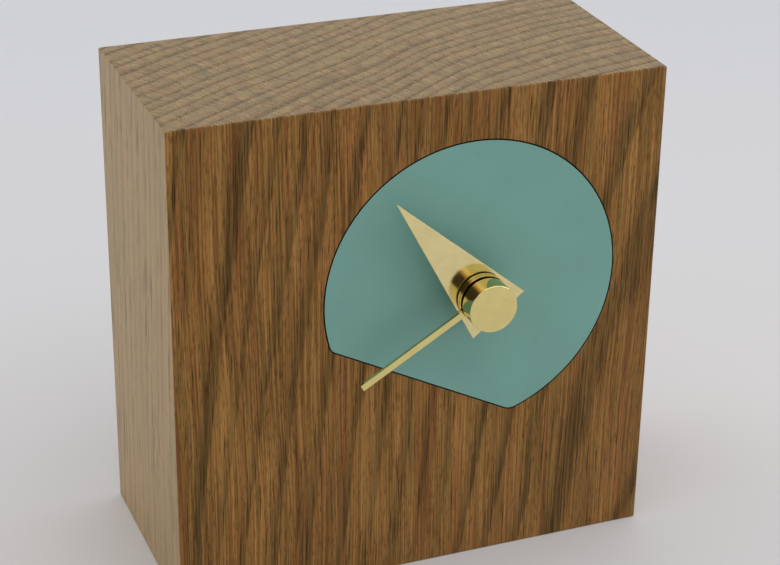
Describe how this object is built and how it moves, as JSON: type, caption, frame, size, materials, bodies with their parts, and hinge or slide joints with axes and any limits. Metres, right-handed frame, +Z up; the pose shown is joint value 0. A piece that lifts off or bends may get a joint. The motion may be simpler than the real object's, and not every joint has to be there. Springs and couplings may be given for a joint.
{
  "type": "mantel clock",
  "caption": "Square solid oak block clock with an off-centre inlaid teal dial cut by a slant edge, a brass triangle hour hand, a brass bar minute hand and a round brass hub.",
  "frame": {"origin": "centre of the wooden block's underside", "axes": "+Z up, +Y from the dial to the open back, +X to the right of someone facing the dial"},
  "size_m": [0.15, 0.0859, 0.1524],
  "materials": {
    "oak": "oiled, fine sanded",
    "dial_laminate": "satin",
    "brass_hands": "satin, brushed",
    "brass_turned": "turned",
    "rubber": "matt",
    "case_plastic": "moulded, fine texture",
    "gear_plastic": "moulded",
    "gear_plastic_dark": "moulded",
    "steel": "drawn",
    "soft_iron": "stamped",
    "magnet": "sintered",
    "bobbin_plastic": "moulded",
    "copper_wire": "enamelled",
    "board": "phenolic sheet",
    "resin": "cast",
    "nickel": "nickel plated",
    "battery_film": "shrunk film"
  },
  "bodies": {
    "root": {"case_block": "oak", "dial_plate": "dial_laminate", "rubber_gasket": "rubber", "threaded_bush": "brass_turned", "dial_washer": "brass_turned", "fixing_nut": "brass_turned", "movement_front_case": "case_plastic", "movement_rear_cover": "case_plastic", "gear_bridge": "gear_plastic_dark", "stator_plate": "soft_iron", "coil_core": "soft_iron", "coil_bobbin": "bobbin_plastic", "coil_winding": "copper_wire", "circuit_board": "board", "control_chip": "resin", "quartz_crystal": "nickel", "positive_contact": "nickel", "negative_contact": "nickel"},
    "minute": {"minute_pipe": "brass_turned", "centre_wheel": "brass_turned", "minute_hand": "brass_hands", "hub_knob": "brass_hands"},
    "hour": {"hour_wheel": "gear_plastic", "hour_hand_collet": "brass_turned", "hour_hand": "brass_hands"},
    "motion": {"minute_wheel": "gear_plastic"},
    "setting": {"setting_shaft": "gear_plastic", "setting_knob": "gear_plastic"},
    "third": {"third_wheel": "gear_plastic"},
    "seconds": {"seconds_wheel": "gear_plastic_dark", "seconds_arbor": "steel"},
    "fifth": {"fifth_wheel": "gear_plastic"},
    "rotor": {"rotor_magnet": "magnet", "rotor_pinion": "gear_plastic_dark"},
    "battery": {"battery_can": "nickel", "battery_jacket": "battery_film"}
  },
  "joints": [
    {"name": "minute_turn", "type": "hinge", "parent": "root", "child": "minute", "pos_m": [0.0155, -0.0433, 0.0918], "axis": [0, 1, 0], "continuous": true},
    {"name": "hour_turn", "type": "hinge", "parent": "root", "child": "hour", "pos_m": [0.0155, -0.0415, 0.0918], "axis": [0, 1, 0], "continuous": true},
    {"name": "motion_turn", "type": "hinge", "parent": "root", "child": "motion", "pos_m": [0.0245, -0.0204, 0.0918], "axis": [0, 1, 0], "continuous": true},
    {"name": "setting_turn", "type": "hinge", "parent": "root", "child": "setting", "pos_m": [0.0335, -0.006, 0.0918], "axis": [0, 1, 0], "continuous": true},
    {"name": "third_turn", "type": "hinge", "parent": "root", "child": "third", "pos_m": [0.00771, -0.0155, 0.0963], "axis": [0, 1, 0], "continuous": true},
    {"name": "seconds_turn", "type": "hinge", "parent": "root", "child": "seconds", "pos_m": [0.0155, -0.0135, 0.0918], "axis": [0, 1, 0], "continuous": true},
    {"name": "fifth_turn", "type": "hinge", "parent": "root", "child": "fifth", "pos_m": [0.01925, -0.0118, 0.0983], "axis": [0, 1, 0], "continuous": true},
    {"name": "rotor_turn", "type": "hinge", "parent": "root", "child": "rotor", "pos_m": [0.02321, -0.015, 0.10225], "axis": [0, 1, 0], "continuous": true},
    {"name": "battery_slide", "type": "slide", "parent": "root", "child": "battery", "axis": [0, 1, 0], "range_m": [0, 0.06]}
  ],
  "couplings": [
    {"joint": "hour_turn", "follows": "minute_turn", "ratio": 0.083333},
    {"joint": "motion_turn", "follows": "minute_turn", "ratio": -0.33333},
    {"joint": "setting_turn", "follows": "minute_turn", "ratio": 1},
    {"joint": "third_turn", "follows": "minute_turn", "ratio": -8},
    {"joint": "seconds_turn", "follows": "minute_turn", "ratio": 60},
    {"joint": "fifth_turn", "follows": "minute_turn", "ratio": -300},
    {"joint": "rotor_turn", "follows": "minute_turn", "ratio": 1800}
  ]
}
